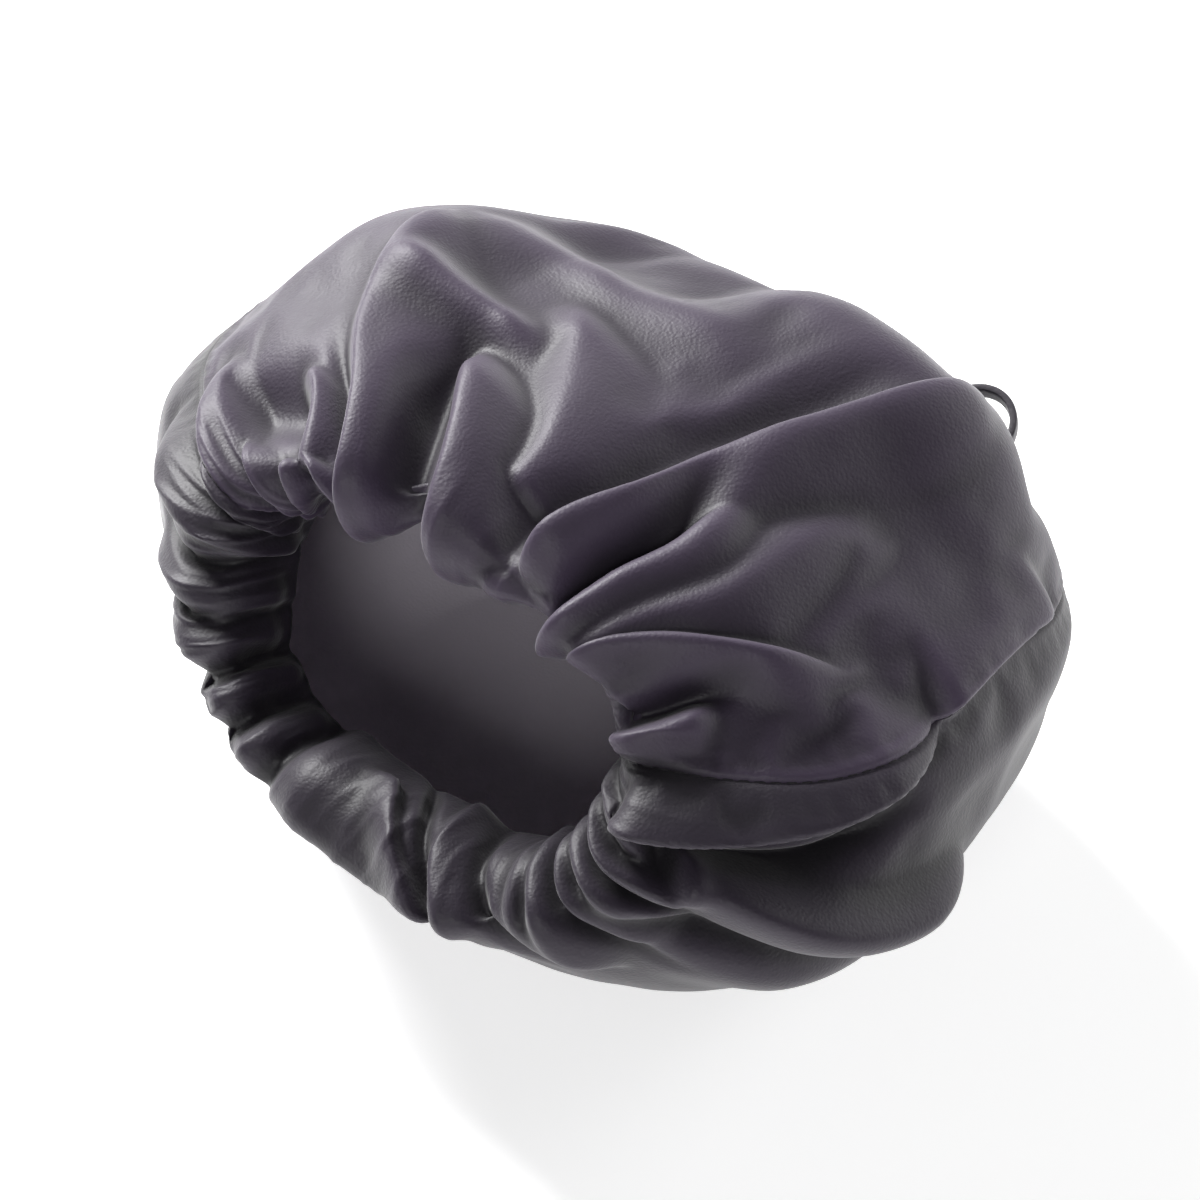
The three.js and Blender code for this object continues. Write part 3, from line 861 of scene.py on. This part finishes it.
@dataclass
class SeamStitches:
    """Short sunken stitches along both side seams."""

    form: GatheredForm
    pitch: float = 3.6
    length: float = 2.5
    thick: float = 0.55
    first_ring: float = 0.7
    last_ring: float = 8.6
    sides: int = 6

    def run(self, side: PanelSide) -> tuple[Array, Array]:
        """Return evenly spaced stitch centres and their directions along one seam.

        Args:
            side: UPPER for the right-hand seam, LOWER for the left-hand one.

        Returns:
            Points and unit directions in millimetres.
        """
        ring = np.linspace(self.first_ring, self.last_ring, 500)[:, None]
        seam = seam_angle(ring)
        angle = seam if side is PanelSide.UPPER else 180.0 - seam
        line = self.form.outer_point(angle, ring)[:, 0]
        walked = np.concatenate([[0.0], np.cumsum(np.linalg.norm(np.diff(line, axis=0), axis=1))])
        stops = np.arange(self.pitch, walked[-1], self.pitch)

        def at(distance: Array) -> Array:
            """Return points of the seam at distances along it."""
            return np.stack([np.interp(distance, walked, line[:, k]) for k in range(3)], axis=-1)

        way = at(stops + 0.5) - at(stops - 0.5)
        return at(stops), way / np.linalg.norm(way, axis=1, keepdims=True)

    def build(self) -> bpy.types.Object:
        """Build all stitches as one mesh of small rounded bars."""
        shares = ((-0.5, 0.3), (-0.42, 0.8), (0.0, 1.0), (0.42, 0.8), (0.5, 0.3))
        points, faces = [], []
        for side in PanelSide:
            for centre, way in zip(*self.run(side)):
                across = np.cross(way, (0.3, 0.2, 1.0))
                across /= np.linalg.norm(across)
                other = np.cross(way, across)
                first = len(points)
                for share, fat in shares:
                    for k in range(self.sides):
                        turn = 2 * math.pi * k / self.sides
                        around = across * math.cos(turn) + other * math.sin(turn)
                        spot = centre + way * share * self.length + around * fat * self.thick / 2
                        points.append(tuple(spot * MM))
                for row in range(len(shares) - 1):
                    for k in range(self.sides):
                        a = first + row * self.sides + k
                        b = first + row * self.sides + (k + 1) % self.sides
                        faces.append((a, b, b + self.sides, a + self.sides))
                last = first + (len(shares) - 1) * self.sides
                faces.append(tuple(first + k for k in reversed(range(self.sides))))
                faces.append(tuple(last + k for k in range(self.sides)))
        mesh = bpy.data.meshes.new("seam_stitches")
        mesh.from_pydata(points, [], faces)
        mesh.materials.append(SewingThread().make())
        piece = bpy.data.objects.new("seam_stitches", mesh)
        bpy.context.collection.objects.link(piece)
        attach(piece, "root")
        return piece


@dataclass
class WristLoop:
    """Small strap arched off the back of the upper panel between two seats."""

    form: GatheredForm
    finish: NappaLeather
    node: str = "wrist_loop"
    slot: str = "loop_leather"
    seats: tuple[tuple[float, float], tuple[float, float]] = ((61.0, 1.65), (45.0, 1.75))
    reach: float = 11.0
    seat_gap: float = 0.2
    width: float = 5.0
    thick: float = 2.0
    steps: int = 60
    sides: int = 28

    def build(self) -> bpy.types.Object:
        """Build the strap as a bar of rounded-rectangle section along its arch."""
        angle = np.array([[seat[0]] for seat in self.seats])
        ring = np.array([[seat[1]] for seat in self.seats])
        feet = self.form.outer_point(angle, ring)[:, 0]
        out = self.form.outward(angle, ring)[:, 0].sum(axis=0)
        out /= np.linalg.norm(out)
        t = np.linspace(0.0, math.pi, self.steps + 1)[:, None]
        share = (1 - np.cos(t)) / 2
        line = feet[0] * (1 - share) + feet[1] * share
        line = line + out * (self.seat_gap + np.sin(t) * self.reach)
        way = np.gradient(line, axis=0)
        way /= np.linalg.norm(way, axis=1, keepdims=True)
        across = np.cross(out, feet[1] - feet[0])
        across /= np.linalg.norm(across)
        face = np.cross(way, across)
        turn = np.linspace(0.0, 2 * math.pi, self.sides, endpoint=False)
        wide = power(np.cos(turn), 0.35) * self.width / 2
        deep = power(np.sin(turn), 0.35) * self.thick / 2
        points = line[:, None] + wide[None, :, None] * across + deep[None, :, None] * face[:, None]
        index = np.arange((self.steps + 1) * self.sides).reshape(self.steps + 1, self.sides)
        beside = np.roll(index, -1, axis=1)
        quads = np.stack([index[:-1], beside[:-1], beside[1:], index[1:]], axis=-1).reshape(-1, 4)
        faces = quads.tolist() + [index[0][::-1].tolist(), index[-1].tolist()]
        mesh = bpy.data.meshes.new(self.node + "_strap")
        mesh.from_pydata((points.reshape(-1, 3) * MM).tolist(), [], faces)
        mesh.polygons.foreach_set("use_smooth", [True] * len(mesh.polygons))
        mesh.materials.append(self.finish.make())
        piece = bpy.data.objects.new(self.node + "_strap", mesh)
        bpy.context.collection.objects.link(piece)
        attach(piece, "root")
        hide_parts(self.node)
        return piece


@dataclass
class Studio:
    """Pale floor, soft light all round and the camera."""

    floor_reach: float = 6.0
    azimuth: float = 45.0
    elevation: float = 42.0
    distance: float = 1.0
    target: tuple[float, float, float] = (0.0, 0.0, 0.062)
    frame_width: float = 0.3
    middle: tuple[float, float] = (1.504, -6.211)

    def floor(self) -> bpy.types.Object:
        """Lay the floor."""
        r = self.floor_reach
        mesh = bpy.data.meshes.new("floor")
        mesh.from_pydata([(-r, -r, 0), (r, -r, 0), (r, r, 0), (-r, r, 0)], [], [(0, 1, 2, 3)])
        mesh.materials.append(StudioPaper().make())
        piece = bpy.data.objects.new("floor", mesh)
        bpy.context.collection.objects.link(piece)
        return piece

    def light(
        self, name: str, azimuth: float, elevation: float, size: float, power_w: float
    ) -> None:
        """Hang one square soft light that looks at the bag.

        Args:
            name: Name of the light.
            azimuth: Its direction round the bag, as the camera's.
            elevation: Its height over the floor, in degrees.
            size: Its side in metres.
            power_w: Its power in watts.
        """
        lamp = bpy.data.lights.new(name, "AREA")
        lamp.size = size
        lamp.energy = power_w
        piece = bpy.data.objects.new(name, lamp)
        a, e = math.radians(azimuth), math.radians(elevation)
        way = Vector((math.sin(a) * math.cos(e), -math.cos(a) * math.cos(e), math.sin(e)))
        piece.location = way * 1.6
        piece.rotation_euler = way.to_track_quat("Z", "Y").to_euler()
        bpy.context.collection.objects.link(piece)

    def toward_camera(self) -> Vector:
        """Return the unit direction from the bag to the camera."""
        a, e = math.radians(self.azimuth), math.radians(self.elevation)
        return Vector((math.sin(a) * math.cos(e), -math.cos(a) * math.cos(e), math.sin(e)))

    def sky(self, horizon: float, zenith: float, backdrop: float) -> None:
        """Light the scene from all round.

        Args:
            horizon: Brightness low down.
            zenith: Brightness overhead.
            backdrop: What the lit backdrop behind the bag adds.
        """
        world = bpy.data.worlds.new("studio")
        world.use_nodes = True
        tree = world.node_tree
        tree.nodes["Background"].inputs["Color"].default_value = (1.0, 1.0, 1.0, 1.0)
        place = tree.nodes.new("ShaderNodeTexCoord")
        split = tree.nodes.new("ShaderNodeSeparateXYZ")
        tree.links.new(place.outputs["Generated"], split.inputs["Vector"])
        behind = tree.nodes.new("ShaderNodeVectorMath")
        behind.operation = "DOT_PRODUCT"
        behind.inputs[1].default_value = -self.toward_camera()
        tree.links.new(place.outputs["Generated"], behind.inputs[0])
        total = tree.nodes.new("ShaderNodeMath")
        for slot, source, start, stop, low, high in (
            (0, split.outputs["Z"], 0.0, 0.9, horizon, zenith),
            (1, behind.outputs["Value"], 0.1, 0.75, 0.0, backdrop),
        ):
            level = tree.nodes.new("ShaderNodeMapRange")
            level.inputs["From Min"].default_value = start
            level.inputs["From Max"].default_value = stop
            level.inputs["To Min"].default_value = low
            level.inputs["To Max"].default_value = high
            tree.links.new(source, level.inputs["Value"])
            tree.links.new(level.outputs["Result"], total.inputs[slot])
        tree.links.new(total.outputs["Value"], tree.nodes["Background"].inputs["Strength"])
        bpy.context.scene.world = world
        bpy.context.scene.view_settings.view_transform = "Standard"

    def camera(self) -> bpy.types.Object:
        """Set up the camera at the photograph's angle."""
        back = self.toward_camera()
        lens = bpy.data.cameras.new("camera")
        lens.sensor_width = 36.0
        lens.lens = 36.0 * self.distance / self.frame_width
        lens.clip_end = 50.0
        piece = bpy.data.objects.new("camera", lens)
        aim = Vector(self.target) - Vector((self.middle[0] * MM, self.middle[1] * MM, 0.0))
        piece.location = aim + back * self.distance
        piece.rotation_euler = back.to_track_quat("Z", "Y").to_euler()
        bpy.context.collection.objects.link(piece)
        bpy.context.scene.camera = piece
        return piece


def main() -> None:
    """Build the bag's pieces in order and report each."""
    logging.basicConfig(level=logging.INFO, format="%(name)s: %(message)s")
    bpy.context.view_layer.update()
    form = GatheredForm()
    upper = NappaLeather("upper_leather", (0.026, 0.0175, 0.034), (0.036, 0.026, 0.045))
    # Painted shade: the lower panel is the same leather as the upper, its colour painted darker for
    # the shade on its lower side.
    lower_painted_shade = NappaLeather("lower_leather", (0.011, 0.0075, 0.0145), (0.017, 0.0125, 0.021))
    # Painted light: the inner face's colour is far paler than the leather so that the inside of the
    # mouth looks lit; in other light it looks too pale.
    inner = NappaLeather("inner_leather", (0.52, 0.48, 0.54), (0.58, 0.54, 0.6), roughness=0.8)
    panels = [
        LeatherPanel(PanelSide.UPPER, "upper_panel", "upper_leather", form, upper, inner),
        LeatherPanel(PanelSide.LOWER, "lower_panel", "lower_leather", form, lower_painted_shade, inner),
    ]
    for panel in panels:
        piece = panel.build()
        log.info("%s: %d faces", piece.name, len(piece.data.polygons))
    strap = NappaLeather("loop_leather", (0.05, 0.044, 0.055), (0.066, 0.06, 0.072))
    for part in (SeamStitches(form), WristLoop(form, strap)):
        piece = part.build()
        log.info("%s: %d faces", piece.name, len(piece.data.polygons))
    studio = Studio()
    studio.floor()
    studio.sky(0.19, 0.06, 0.85)
    studio.light("key", -99.0, 42.0, 0.6, 52.0)
    studio.light("right_rim", 152.0, 24.0, 0.9, 7.5)
    studio.light("front_fill", 36.0, 32.0, 0.35, 6.5)
    studio.camera()


if __name__ == "__main__":
    main()
